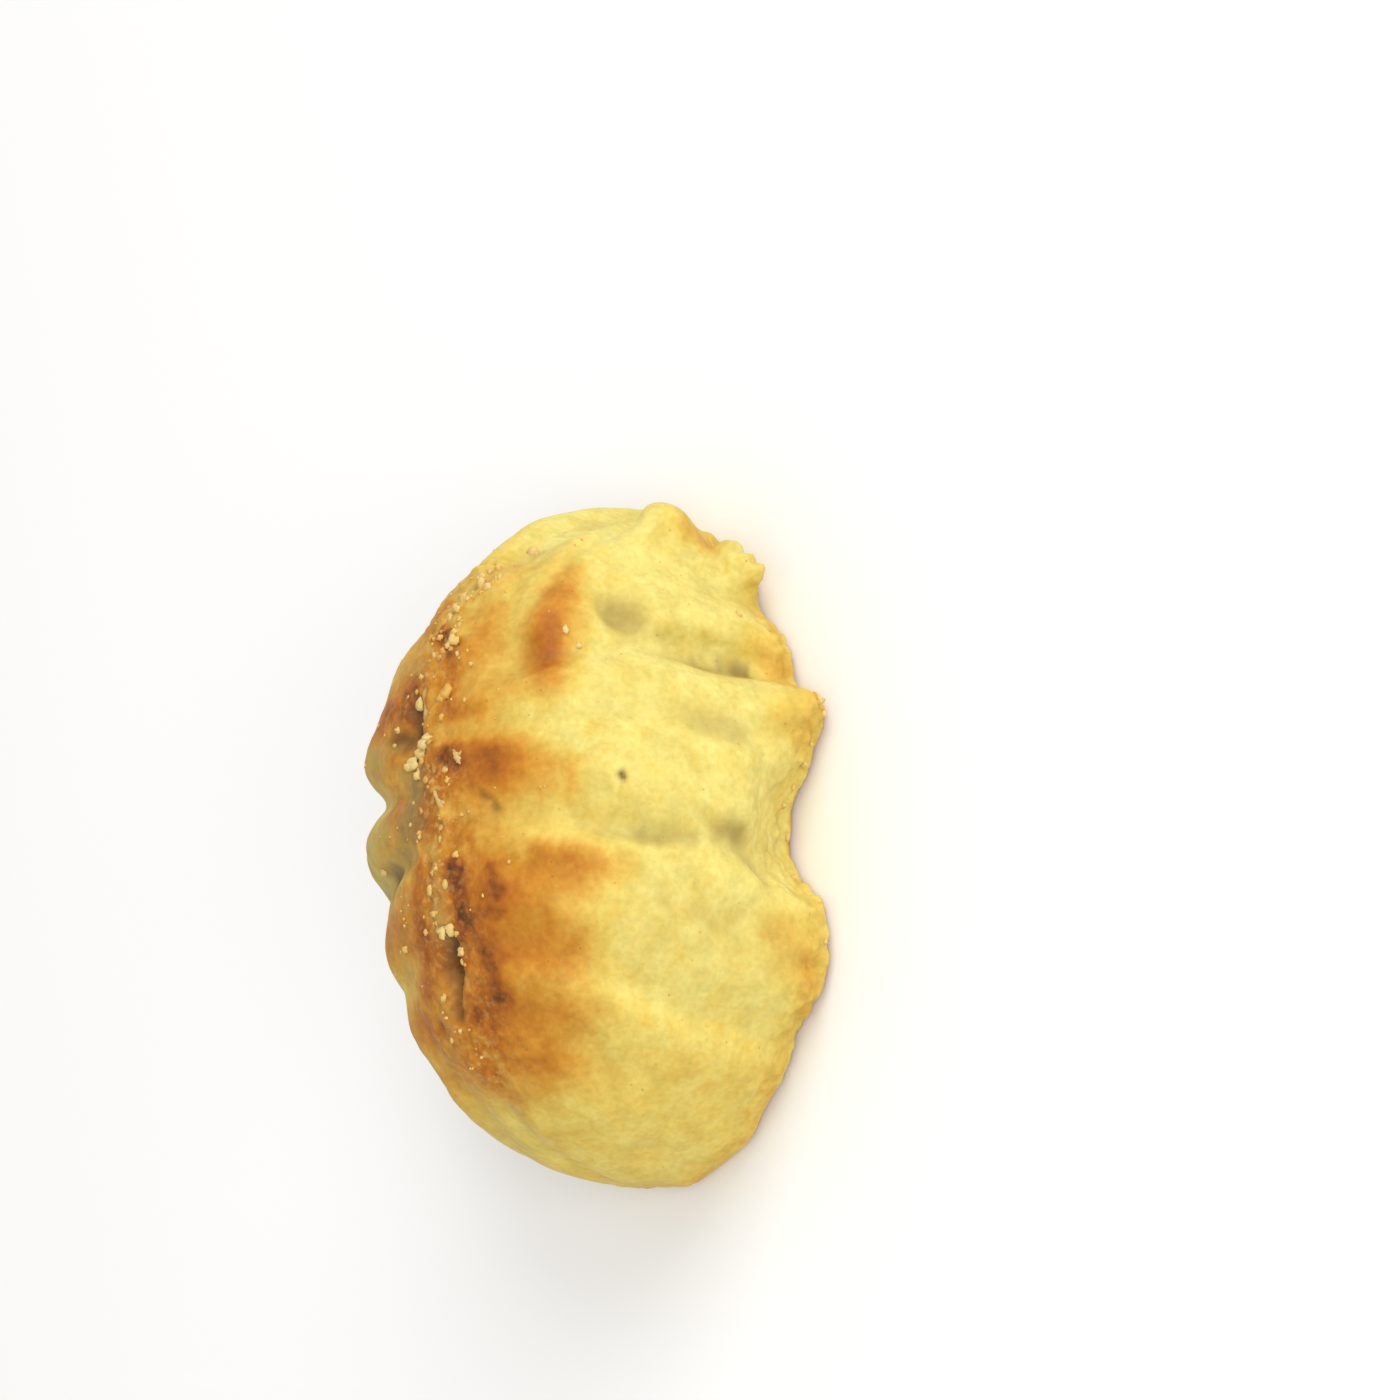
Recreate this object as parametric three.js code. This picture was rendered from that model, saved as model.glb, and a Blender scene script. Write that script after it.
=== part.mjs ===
// Maamoul cookie: a filled semolina pastry pressed in an oval, ribbed mould and baked on its flat base.
// Millimetres, +Z up. The long axis of the oval runs along Y and the origin is the centre of the flat base.
// The cookie is uncut, so it is one solid: an oval dome with a crest along its length, rounded ribs that run
// from the crest to the rim and fan out round both tips, and the dents, lips and flake that baking left.

import * as THREE from 'three';
import { mergeVertices } from 'three/addons/utils/BufferGeometryUtils.js';

// The oval dome
const HALF_LENGTH = 27.6;
const HALF_WIDTH = 18.9;
const HEIGHT = 25.6;
const RIM_LEVEL = 3.2; // height of the widest line, above the tucked-in lower edge
const RIM_TUCK = 1.7; // how far the flat base lies inside the widest line
const TOP_TIP_FULLNESS = { plusX: 1.66, minusX: 1.78 }; // 2 is an ellipse, less is a more pointed tip
const LOW_TIP_FULLNESS = 2.25;
const CREST_STRAIGHTNESS = 2.4;
const CREST_END_FULLNESS = 2.2;
const SHOULDER_FULLNESS = 2.5; // section across the middle, 2 is an ellipse
const TIP_SHOULDER_FULLNESS = 2.1;

// The ribs fan out between two points of the long axis. Angles are in degrees: 0 is the middle of a long
// side, 90 the tip at +Y and -90 the tip at -Y. Depths are in millimetres.
const FAN_FOCUS = 18.5;
const RIB_SLANT = 9; // how far a rib of the +X side leans towards +Y between rim and crest
const RIB_SLANT_CURVE = 0.7; // under 1, so that most of the lean is low on the side
const SIDES_BLEND = 1.5; // half width of the strip along the crest where the two sides' ribs meet
const NARROWEST_SPREAD = 0.35; // keeps the valleys at the tips from closing up
const PLUS_X_VALLEYS = [
  { angle: -73, depth: 0.5 },
  { angle: -56, depth: 0.6 },
  { angle: -39, depth: 1.0 },
  { angle: -22, depth: 0.5 },
  { angle: -12, depth: 1.1 },
  { angle: 10, depth: 0.55 },
  { angle: 24.5, depth: 1.5 },
  { angle: 44, depth: 0.3 },
  { angle: 80, depth: 1.7 },
];
const MINUS_X_VALLEYS = [
  { angle: -73, depth: 0.5 },
  { angle: -55, depth: 0.6 },
  { angle: -35, depth: 0.9 },
  { angle: -12, depth: 1.1 },
  { angle: 7, depth: 1.3 },
  { angle: 50, depth: 0.5 },
  { angle: 70, depth: 0.6 },
];
const VALLEY_STEEP_WIDTH = 1.1; // side towards -Y on the +X side and towards +Y on the -X side
const VALLEY_GENTLE_WIDTH = 2.0; // the other side of a valley
const LOW_TIP_NOTCH = { depth: 0.7, width: 1.2, length: 4 };
const CREST_RIDGE = { x: 0.6, height: 0.5, width: 1.2, halfLength: 18.5, runOut: 2.5, lowest: 15, full: 20 };
const CREST_CALM = { share: 0.6, fromRise: 0.93, runOut: 3.5 }; // valleys fade where they meet the crest
const TIP_CALM = 0.985; // all relief fades beyond this share of the half length
const DOUGH_SWELL = 0.35; // ribs stand this far proud of the plain dome

// A short knob beside the crest, with a groove on its crest side and a dimple on the other. The mould
// repeats it, fainter, at the opposite corner.
const KNOB_TOP = new THREE.Vector2(7.0, 21.3);
const KNOB_MIDDLE = new THREE.Vector2(8.7, 14.5);
const KNOB_FOOT = new THREE.Vector2(10.4, 9.6);
const KNOB_HEIGHT = 0.9;
const KNOB_RADIUS = 1.6;
const KNOB_FADE = { lowest: 8, full: 12 };
const KNOB_GROOVE_TOP = new THREE.Vector2(4.0, 24.0);
const KNOB_GROOVE_FOOT = new THREE.Vector2(5.8, 13.0);
const KNOB_GROOVE_DEPTH = 0.6;
const KNOB_GROOVE_RADIUS = 1.3;
const KNOB_DIMPLE = { centre: new THREE.Vector3(12.1, 15.3, 16.2), radius: 1.8, depth: 1.3 };
const REPEATED_KNOB_SHARE = 0.6;

// Small dents in the valleys, a broad slump of the -X shoulder and a nick above the rim's flake, then, with
// negative depths, the swellings of three ribs and the flake of pastry that stands out of the rim
const DENTS = [
  { centre: new THREE.Vector3(16.3, 11.5, 8.0), radius: 2.2, depth: 0.7 },
  { centre: new THREE.Vector3(18.6, -2.4, 9.4), radius: 1.6, depth: 0.6 },
  { centre: new THREE.Vector3(-11.0, -11.0, 20.5), radius: 8.0, depth: 1.6 },
  { centre: new THREE.Vector3(8.7, 23.9, 1.6), radius: 1.7, depth: 4.4 },
  { centre: new THREE.Vector3(-10.0, 5.4, 22.3), radius: 2.4, depth: -0.7 },
  { centre: new THREE.Vector3(-9.5, -0.8, 22.5), radius: 1.8, depth: -0.7 },
  { centre: new THREE.Vector3(7.6, 24.0, 8.0), radius: 2.8, depth: -2.1 },
  { centre: new THREE.Vector3(11.6, 20.4, 3.0), radius: 1.5, depth: -3.0 },
];

// At the rim of the +X side the ribs draw in (a negative reach) or flow out into lips, and the lower edge
// between two lips has crumbled away
const RIM_LIPS = [
  { y: 18.2, halfLength: 1.8, reach: -0.9 },
  { y: 8.8, halfLength: 2.3, reach: 1.8 },
  { y: -11.2, halfLength: 4.2, reach: 1.75 },
];
const LIP_LEVEL = 2;
const LIP_TOP = 12;
const CRUMBLED_EDGE = { y: -0.5, halfLength: 4.0, depth: 3.9, squareness: 4, bottom: 0.5, top: 10.5 };

// Long, low waves of a hand-pressed surface
const WAVE_HEIGHT = 0.22;
const WAVE_ALONG = new THREE.Vector2(0.31, 0.47);
const WAVE_UP = new THREE.Vector2(-0.22, 0.37);
const WAVE_PHASES = { along: 0.9, up: 0.4 };

// The section's outline is closed: the dome over the top, the rounded lower edges and the flat base between
const AROUND = 50;
const ALONG = 88;
const DOME_SHARE = 0.8;
const EDGE_SHARE = 0.04;
const BASE_START = DOME_SHARE + EDGE_SHARE;
const BASE_END = 1 - EDGE_SHARE;
const SAME_POINT = 1e-4;

const CORE_HALF_LENGTH = 14; // relief is pushed straight out from the filling's core
const CORE_LEVEL = 6;
const FLAT_ZONE = 2.5; // below this height the relief turns level, so the base stays flat

const { clamp, degToRad, radToDeg, smoothstep } = THREE.MathUtils;

const bell = (distance, width) => Math.exp(-((distance / width) ** 2));

const signedPower = (value, power) => Math.sign(value) * Math.abs(value) ** power;

function planHalfWidth(y, side) {
  const topFullness = side > 0 ? TOP_TIP_FULLNESS.plusX : TOP_TIP_FULLNESS.minusX;
  const fullness = y > 0 ? topFullness : LOW_TIP_FULLNESS;
  const part = Math.min(Math.abs(y) / HALF_LENGTH, 1);
  return HALF_WIDTH * (1 - part ** fullness) ** (1 / fullness);
}

function crestHeight(y) {
  const part = Math.min(Math.abs(y) / HALF_LENGTH, 1);
  return RIM_LEVEL + (HEIGHT - RIM_LEVEL) * (1 - part ** CREST_STRAIGHTNESS) ** (1 / CREST_END_FULLNESS);
}

// Point of the plain dome at length y, at a share of the way round the section: from the rim at +X over
// the crest to the rim at -X, then under the lower edge and back along the base.
function plainPoint(y, share) {
  const side = share < DOME_SHARE / 2 || share > (BASE_START + BASE_END) / 2 ? 1 : -1;
  const halfWidth = planHalfWidth(y, side);
  const tuck = Math.min(RIM_TUCK, halfWidth / 2);
  const pastFlat = clamp((Math.abs(y) - (HALF_LENGTH - RIM_TUCK)) / RIM_TUCK, 0, 1);
  const floor = RIM_LEVEL * (1 - Math.sqrt(1 - pastFlat ** 2));
  if (share <= DOME_SHARE) {
    const angle = (share / DOME_SHARE) * Math.PI;
    const tipward = (Math.abs(y) / HALF_LENGTH) ** 2;
    const fullness = SHOULDER_FULLNESS + (TIP_SHOULDER_FULLNESS - SHOULDER_FULLNESS) * tipward;
    const x = halfWidth * signedPower(Math.cos(angle), 2 / fullness);
    const z = RIM_LEVEL + (crestHeight(y) - RIM_LEVEL) * Math.abs(Math.sin(angle)) ** (2 / fullness);
    return new THREE.Vector3(x, y, z);
  }
  if (share >= BASE_START && share <= BASE_END) {
    const across = (share - BASE_START) / (BASE_END - BASE_START);
    return new THREE.Vector3((halfWidth - tuck) * (2 * across - 1), y, floor);
  }
  const under = side < 0 ? (share - DOME_SHARE) / EDGE_SHARE : (1 - share) / EDGE_SHARE;
  const angle = (under * Math.PI) / 2;
  const x = side * (halfWidth - tuck * (1 - Math.cos(angle)));
  return new THREE.Vector3(x, y, RIM_LEVEL - (RIM_LEVEL - floor) * Math.sin(angle));
}

// 0 at the rim, 1 on the crest
function rise(point) {
  return clamp((point.z - RIM_LEVEL) / Math.max(crestHeight(point.y) - RIM_LEVEL, 0.001), 0, 1);
}

// Lines of equal fan angle leave the long axis square to it and bend round the two foci
function fanAngle(point) {
  const toLow = Math.hypot(point.x, point.y + FAN_FOCUS);
  const toTop = Math.hypot(point.x, point.y - FAN_FOCUS);
  return radToDeg(Math.asin(clamp((toLow - toTop) / (2 * FAN_FOCUS), -1, 1)));
}

// With a negative scale the steep sides of the valleys face the other way
function valleyRelief(valleys, angle, millimetresPerDegree) {
  let relief = 0;
  for (const valley of valleys) {
    const distance = (angle - valley.angle) * millimetresPerDegree;
    const width = distance < 0 ? VALLEY_STEEP_WIDTH : VALLEY_GENTLE_WIDTH;
    relief -= valley.depth * bell(distance, width);
  }
  return relief;
}

function ribRelief(point) {
  const height = rise(point);
  const plusX = smoothstep(point.x, -SIDES_BLEND, SIDES_BLEND);
  const fan = fanAngle(point);
  const slant = plusX * RIB_SLANT * height ** RIB_SLANT_CURVE * Math.cos(degToRad(fan));
  const angle = fan - slant;
  const reach = HALF_LENGTH + (FAN_FOCUS - HALF_LENGTH) * height;
  const spread = Math.max(Math.cos(degToRad(angle)), NARROWEST_SPREAD);
  const millimetresPerDegree = degToRad(reach) * spread;
  const valleys =
    plusX * valleyRelief(PLUS_X_VALLEYS, angle, millimetresPerDegree) +
    (1 - plusX) * valleyRelief(MINUS_X_VALLEYS, angle, -millimetresPerDegree);
  const beyondFocus = smoothstep(-point.y, FAN_FOCUS, FAN_FOCUS + LOW_TIP_NOTCH.length);
  const notch = LOW_TIP_NOTCH.depth * bell(point.x, LOW_TIP_NOTCH.width) * beyondFocus;
  const betweenFoci = 1 - smoothstep(Math.abs(point.y), FAN_FOCUS, FAN_FOCUS + CREST_CALM.runOut);
  const onCrest = smoothstep(height, CREST_CALM.fromRise, 1) * betweenFoci;
  return (valleys - notch) * (1 - CREST_CALM.share * onCrest);
}

function distanceToLine(point, from, to) {
  const line = to.clone().sub(from);
  const offset = point.clone().sub(from);
  const along = clamp(offset.dot(line) / line.lengthSq(), 0, 1);
  return offset.distanceTo(line.multiplyScalar(along));
}

function dentRelief(point, dent) {
  return -dent.depth * bell(point.distanceTo(dent.centre), dent.radius);
}

function knobRelief(point) {
  const plan = new THREE.Vector2(point.x, point.y);
  const upper = bell(distanceToLine(plan, KNOB_TOP, KNOB_MIDDLE), KNOB_RADIUS);
  const lower = bell(distanceToLine(plan, KNOB_MIDDLE, KNOB_FOOT), KNOB_RADIUS);
  const groove = bell(distanceToLine(plan, KNOB_GROOVE_TOP, KNOB_GROOVE_FOOT), KNOB_GROOVE_RADIUS);
  const ridge = KNOB_HEIGHT * Math.max(upper, lower) - KNOB_GROOVE_DEPTH * groove;
  const high = smoothstep(point.z, KNOB_FADE.lowest, KNOB_FADE.full);
  return high * ridge + dentRelief(point, KNOB_DIMPLE);
}

function crestRelief(point) {
  const { x, height, width, halfLength, runOut, lowest, full } = CREST_RIDGE;
  const along = 1 - smoothstep(Math.abs(point.y), halfLength - runOut, halfLength + runOut);
  return height * bell(point.x - x, width) * along * smoothstep(point.z, lowest, full);
}

function lipRelief(point) {
  if (point.x < 0) {
    return 0;
  }
  const low = 1 - smoothstep(point.z, LIP_LEVEL, LIP_TOP);
  const reach = RIM_LIPS.reduce((sum, lip) => sum + lip.reach * bell(point.y - lip.y, lip.halfLength), 0);
  return low * reach;
}

function waveRelief(point) {
  const along = Math.sin(WAVE_ALONG.x * point.x + WAVE_ALONG.y * point.y + WAVE_PHASES.along);
  const up = Math.sin(WAVE_UP.x * point.y + WAVE_UP.y * point.z + WAVE_PHASES.up);
  return WAVE_HEIGHT * along * up;
}

function reliefAt(point) {
  const turned = new THREE.Vector3(-point.x, -point.y, point.z);
  const knobs = knobRelief(point) + REPEATED_KNOB_SHARE * knobRelief(turned);
  const dents = DENTS.reduce((sum, dent) => sum + dentRelief(point, dent), 0);
  const whole = DOUGH_SWELL + ribRelief(point) + knobs + dents + crestRelief(point) + lipRelief(point);
  return whole + waveRelief(point);
}

function outwardFromCore(point) {
  const core = new THREE.Vector3(0, clamp(point.y, -CORE_HALF_LENGTH, CORE_HALF_LENGTH), CORE_LEVEL);
  const outward = point.clone().sub(core).normalize();
  outward.z *= smoothstep(point.z, 0, FLAT_ZONE);
  return outward;
}

function crumbledAway(point) {
  if (point.x < 0) {
    return 0;
  }
  const { y, halfLength, depth, squareness, bottom, top } = CRUMBLED_EDGE;
  const along = Math.exp(-(Math.abs((point.y - y) / halfLength) ** squareness));
  return depth * along * (1 - smoothstep(point.z, bottom, top));
}

// The finished skin. The base between its two edges is ruled straight across, so it stays flat.
function skinPoint(y, share) {
  if (share > BASE_START && share < BASE_END) {
    const across = (share - BASE_START) / (BASE_END - BASE_START);
    return skinPoint(y, BASE_START).lerp(skinPoint(y, BASE_END), across);
  }
  const point = plainPoint(y, share);
  const tipFade = 1 - smoothstep(Math.abs(y), HALF_LENGTH * TIP_CALM, HALF_LENGTH);
  const move = outwardFromCore(point).multiplyScalar(reliefAt(point) * tipFade);
  const loss = crumbledAway(point);
  point.add(move);
  point.x -= loss;
  return point;
}

// A sphere whose poles are the two tips: each ring of it becomes one section across the cookie
function cookieGeometry() {
  const geometry = new THREE.SphereGeometry(1, AROUND, ALONG);
  geometry.deleteAttribute('normal');
  geometry.deleteAttribute('uv');
  const position = geometry.getAttribute('position');
  const onSphere = new THREE.Vector3();
  for (let i = 0; i < position.count; i += 1) {
    onSphere.fromBufferAttribute(position, i);
    const turn = Math.atan2(onSphere.z, onSphere.x) / (2 * Math.PI);
    const step = Math.round(turn * AROUND + AROUND) % AROUND;
    const isTip = Math.hypot(onSphere.x, onSphere.z) < SAME_POINT;
    const skin = skinPoint(HALF_LENGTH * onSphere.y, isTip ? 0 : step / AROUND);
    position.setXYZ(i, skin.x, skin.y, skin.z);
  }
  const merged = mergeVertices(geometry, SAME_POINT);
  merged.computeVertexNormals();
  return merged;
}

const bakedPastry = new THREE.MeshStandardMaterial({ color: 0xe9c46a, roughness: 0.85, metalness: 0 });

const cookie = new THREE.Mesh(cookieGeometry(), bakedPastry);
cookie.name = 'cookie';

const group = new THREE.Group();
group.add(cookie);

export default group;
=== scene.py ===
import math
import random

import bmesh
import bpy
import numpy as np
from mathutils import Matrix, Vector, noise
from mathutils.bvhtree import BVHTree


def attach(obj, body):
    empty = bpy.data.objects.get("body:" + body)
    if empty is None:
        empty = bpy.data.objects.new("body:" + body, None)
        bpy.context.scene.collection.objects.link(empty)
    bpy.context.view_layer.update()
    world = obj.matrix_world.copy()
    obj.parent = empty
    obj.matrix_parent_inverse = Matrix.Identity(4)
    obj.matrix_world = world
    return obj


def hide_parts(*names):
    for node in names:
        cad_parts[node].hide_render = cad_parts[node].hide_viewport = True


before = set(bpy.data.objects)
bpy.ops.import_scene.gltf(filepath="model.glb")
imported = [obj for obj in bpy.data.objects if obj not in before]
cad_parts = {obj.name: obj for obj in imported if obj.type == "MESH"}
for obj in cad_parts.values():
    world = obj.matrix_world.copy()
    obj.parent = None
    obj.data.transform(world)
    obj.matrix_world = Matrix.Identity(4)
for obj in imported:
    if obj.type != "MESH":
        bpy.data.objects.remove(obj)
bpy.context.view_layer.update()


# ---------------------------------------------------------------------------
# The camera
# It looks down on the +X side from 40 degrees, a little from the -Y tip, and is rolled so that the cookie's
# long axis stands upright in the picture.
# ---------------------------------------------------------------------------
MM = 0.001
LOOK_DOWN = math.radians(40)
LOOK_FROM_LOW_TIP = math.radians(12)
CAMERA_DISTANCE = 330 * MM
PICTURE_WIDTH = 113.8 * MM  # how much of the scene the picture spans at the cookie
PICTURE_CENTRE = (1.79 * MM, 12.03 * MM)  # right of and above the origin, in the picture
NEAREST_SEEN = 10 * MM

scene = bpy.context.scene
towards_camera = Vector((
    math.cos(LOOK_DOWN) * math.cos(LOOK_FROM_LOW_TIP),
    -math.cos(LOOK_DOWN) * math.sin(LOOK_FROM_LOW_TIP),
    math.sin(LOOK_DOWN),
))
picture_right = Vector((0, 1, 0)).cross(towards_camera).normalized()
picture_up = towards_camera.cross(picture_right)

aim = picture_right * PICTURE_CENTRE[0] + picture_up * PICTURE_CENTRE[1]
place = towards_camera * CAMERA_DISTANCE
backward = (place - aim).normalized()
sideways = picture_up.cross(backward).normalized()
upward = backward.cross(sideways)

camera = bpy.data.objects.new("camera", bpy.data.cameras.new("camera"))
camera.data.angle = 2 * math.atan(PICTURE_WIDTH / 2 / CAMERA_DISTANCE)
camera.data.clip_start = NEAREST_SEEN
camera.matrix_world = Matrix.Translation(place) @ Matrix((sideways, upward, backward)).transposed().to_4x4()
scene.collection.objects.link(camera)
scene.camera = camera


# ---------------------------------------------------------------------------
# The baked dough
# One shell of semolina dough round a filling that doesn't show. It is pressed in a ribbed mould, knocked out
# and baked: the rib tops and the crest brown first, the valleys stay pale and a little grey-green. Painted
# shade deepens the grey-green in the valleys and creases and darkens the gaps and pits.
# ---------------------------------------------------------------------------
MESH_STEP = 0.28 * MM
SAME_PLACE = MM / 1000
JOINED_FACES_TILT = math.radians(40)
JOINED_FACES_SKEW = math.radians(60)
ROUNDING_LEVELS = 2
SMALLEST_DISTANCE = 1e-6  # keeps a point on a line from dividing by 0
LUMP_BROAD_BUMPS = 1.7  # bumps for each half size of a lump
LUMP_FINE_BUMPS = 4.1
LUMP_FINE_SHARE = 0.6
LUMP_BROAD_STEP = 5.3
LUMP_FINE_STEP = 3.7
LUMP_SEED_STEPS = (17.3, -9.1, 5.7)
GRAIN_SEED_STEPS = (11.9, 3.3, -7.7)


def ramp(value, low, high):
    """0 below low, 1 above high, smooth between; low may be the greater one."""
    share = np.clip((value - low) / (high - low), 0, 1)
    return share * share * (3 - 2 * share)


def bell(distance, width):
    """1 at a distance of 0, falling softly to nothing at about twice the width."""
    return np.exp(-((distance / width) ** 2))


def lumps(points, size, seed):
    """Smooth noise from -1 to 1 with lumps of about this size in millimetres."""
    offset = Vector([seed * step for step in LUMP_SEED_STEPS])
    return np.array([noise.noise(Vector(point) / size + offset) for point in points])


def grains(points, size, seed):
    """Distance to the nearest of many scattered points, about 0 in a grain's middle and 1 between grains."""
    offset = Vector([seed * step for step in GRAIN_SEED_STEPS])
    return np.array([noise.voronoi(Vector(point) / size + offset)[0][0] for point in points])


def uneven(points, layers):
    """Lumps of several sizes over each other: the height, size and seed of each layer."""
    return sum(height * lumps(points, size, seed) for height, size, seed in layers)


def grainy(points, height, level, size, seed):
    """Raised grains of one size. The level is how far out of the grooves between them the surface starts."""
    return height * (level - grains(points, size, seed))


def stroke(points, start, end, radii, levels, upper=1.0, crispness=2):
    """A soft-edged line whose radius and level change along it. Upper scales its radius towards +Y."""
    line = np.array(end, float) - np.array(start, float)
    from_start = points - np.array(start, float)
    along = np.clip(from_start @ line / (line @ line), 0, 1)
    offset = from_start - along[:, None] * line
    apart = np.linalg.norm(offset, axis=1)
    towards_top = 0.5 + 0.5 * offset[:, 1] / np.maximum(apart, SMALLEST_DISTANCE)
    radius = (radii[0] + (radii[1] - radii[0]) * along) * (1 + (upper - 1) * towards_top)
    level = levels[0] + (levels[1] - levels[0]) * along
    return level * np.exp(-((apart / radius) ** crispness))


def soft_union(layers, power=4):
    """The greatest of several layers at each point, without a kink where two of them meet."""
    return sum(np.maximum(layer, 0) ** power for layer in layers) ** (1 / power)


def add_lump(shape, middle, half_sizes, unevenness, seed, subdivisions):
    """A rounded, uneven lump. Returns its vertices."""
    verts = bmesh.ops.create_icosphere(shape, subdivisions=subdivisions, radius=1)["verts"]
    broad_seed = Vector((seed * LUMP_BROAD_STEP, 0, seed))
    fine_seed = Vector((0, seed * LUMP_FINE_STEP, seed))
    for vert in verts:
        reach = 1 + unevenness * noise.noise(vert.co * LUMP_BROAD_BUMPS + broad_seed)
        reach += unevenness * LUMP_FINE_SHARE * noise.noise(vert.co * LUMP_FINE_BUMPS + fine_seed)
        from_middle = Vector([part * half * reach for part, half in zip(vert.co, half_sizes)])
        vert.co = (Vector(middle) + from_middle) * MM
    return verts


def even_mesh(node, name, lumps_on_it, lump_unevenness, lump_subdivisions):
    """A closed copy of a CAD node, with lumps grown on to it, rounded and meshed evenly."""
    shape = bmesh.new()
    shape.from_mesh(node.data)
    bmesh.ops.remove_doubles(shape, verts=shape.verts, dist=SAME_PLACE)
    bmesh.ops.join_triangles(
        shape,
        faces=shape.faces,
        angle_face_threshold=JOINED_FACES_TILT,
        angle_shape_threshold=JOINED_FACES_SKEW,
    )
    for number, (middle, half_sizes) in enumerate(lumps_on_it, 1):
        add_lump(shape, middle, half_sizes, lump_unevenness, number, lump_subdivisions)
    mesh = bpy.data.meshes.new(name)
    shape.to_mesh(mesh)
    shape.free()
    draft = bpy.data.objects.new(name + "_draft", mesh)
    scene.collection.objects.link(draft)
    rounding = draft.modifiers.new("rounding", "SUBSURF")
    rounding.levels = rounding.render_levels = ROUNDING_LEVELS
    remesh = draft.modifiers.new("even", "REMESH")
    remesh.mode = "VOXEL"
    remesh.voxel_size = MESH_STEP
    evaluated = draft.evaluated_get(bpy.context.evaluated_depsgraph_get())
    finished = bpy.data.meshes.new_from_object(evaluated)
    finished.name = name
    bpy.data.objects.remove(draft)
    bpy.data.meshes.remove(mesh)
    return finished


def vertex_arrays(mesh):
    """Positions in millimetres and normals of a mesh's vertices."""
    count = len(mesh.vertices)
    places = np.empty(count * 3)
    normals = np.empty(count * 3)
    mesh.vertices.foreach_get("co", places)
    mesh.vertex_normals.foreach_get("vector", normals)
    return places.reshape(-1, 3) / MM, normals.reshape(-1, 3)


def blurred(values, edges, rounds):
    """Values evened out over neighbouring vertices."""
    count = len(values)
    neighbours = np.bincount(edges.ravel(), minlength=count)
    for _ in range(rounds):
        total = np.bincount(edges[:, 0], values[edges[:, 1]], count)
        total += np.bincount(edges[:, 1], values[edges[:, 0]], count)
        values = (values + total / neighbours) / 2
    return values


def blurred_places(places, edges, rounds):
    """Places evened out over neighbouring vertices."""
    return np.stack([blurred(places[:, axis], edges, rounds) for axis in range(3)], axis=1)


# The crumbly flake squeezed out at the rim: middle and half sizes of its parts
RIM_FLAKE = (
    ((10.3, 22.5, 3.6), (1.3, 0.9, 0.9)),
    ((10.5, 21.7, 3.4), (1.3, 1.0, 1.1)),
    ((11.8, 21.0, 3.3), (1.4, 1.1, 1.0)),
    ((12.5, 20.3, 2.9), (1.2, 0.9, 0.9)),
    ((11.9, 19.9, 2.8), (1.2, 0.8, 1.0)),
    ((11.0, 20.7, 4.2), (1.6, 1.6, 0.9)),
)
RIM_FLAKE_UNEVENNESS = 0.4
RIM_FLAKE_SUBDIVISIONS = 2
crust_mesh = even_mesh(
    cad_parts["cookie"], "crust", RIM_FLAKE, RIM_FLAKE_UNEVENNESS, RIM_FLAKE_SUBDIVISIONS
)
place_mm, outward = vertex_arrays(crust_mesh)
edge_ends = np.empty(len(crust_mesh.edges) * 2, int)
crust_mesh.edges.foreach_get("vertices", edge_ends)
edge_ends = edge_ends.reshape(-1, 2)

# How far each point lies above the evened-out surface: above 0 on ribs, below 0 in valleys
EVENING_ROUNDS = 160
evened = blurred_places(place_mm, edge_ends, EVENING_ROUNDS)
proud = np.einsum("ij,ij->i", place_mm - evened, outward)

# The groove at the +Y tip is shallower and rounder than the rest: start, end, radii, levels
TIP_GROOVE = ((3.0, 26.6, 8.0), (4.6, 22.4, 15.0), (2.2, 2.2), (1, 1))
GROOVE_ROUNDS = 30
rounded = blurred_places(place_mm, edge_ends, GROOVE_ROUNDS)
place_mm = place_mm + (rounded - place_mm) * stroke(place_mm, *TIP_GROOVE)[:, None]

# Where each kind of place begins and where it is full, in millimetres along an axis
BASE_FADE = (0.3, 1.5)
CREST_HEIGHTS = (14, 19)
CREST_ENDS = (24, 19)
RIM_HEIGHTS = (5, 2.5)
GRITTY_RIM_HEIGHTS = (4.5, 2.2)
GRITTY_RIM_SIDE = (12, 14)
CRUMBLED_HEIGHTS = (9, 5.5)
CRUMBLED_SIDE = (12, 14.5)
CRUMBLED_MIDDLE = -1.2
CRUMBLED_HALF_LENGTH = 6.0
FACING_DOWN = (0.6, 0.95)  # share of the normal

x, y, z = place_mm.T
above_base = ramp(z, *BASE_FADE)
underneath = ramp(-outward[:, 2], *FACING_DOWN)

# The crest's seam wanders a little from side to side: its course, and the unevenness of its edges as height,
# size and seed
SEAM_Y = (-22, -13, -9.5, -5, 2, 4.8, 10, 17, 23)
SEAM_X = (1.2, 1.8, 1.2, 1.7, 1.3, -0.8, -0.6, -1.2, -0.6)
SEAM_UNEVENNESS = ((0.5, 1.6, 1),)
seam_x = np.interp(y, SEAM_Y, SEAM_X)
from_seam = x - seam_x + uneven(place_mm, SEAM_UNEVENNESS)
on_crest = ramp(z, *CREST_HEIGHTS) * ramp(np.abs(y), *CREST_ENDS)

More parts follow.
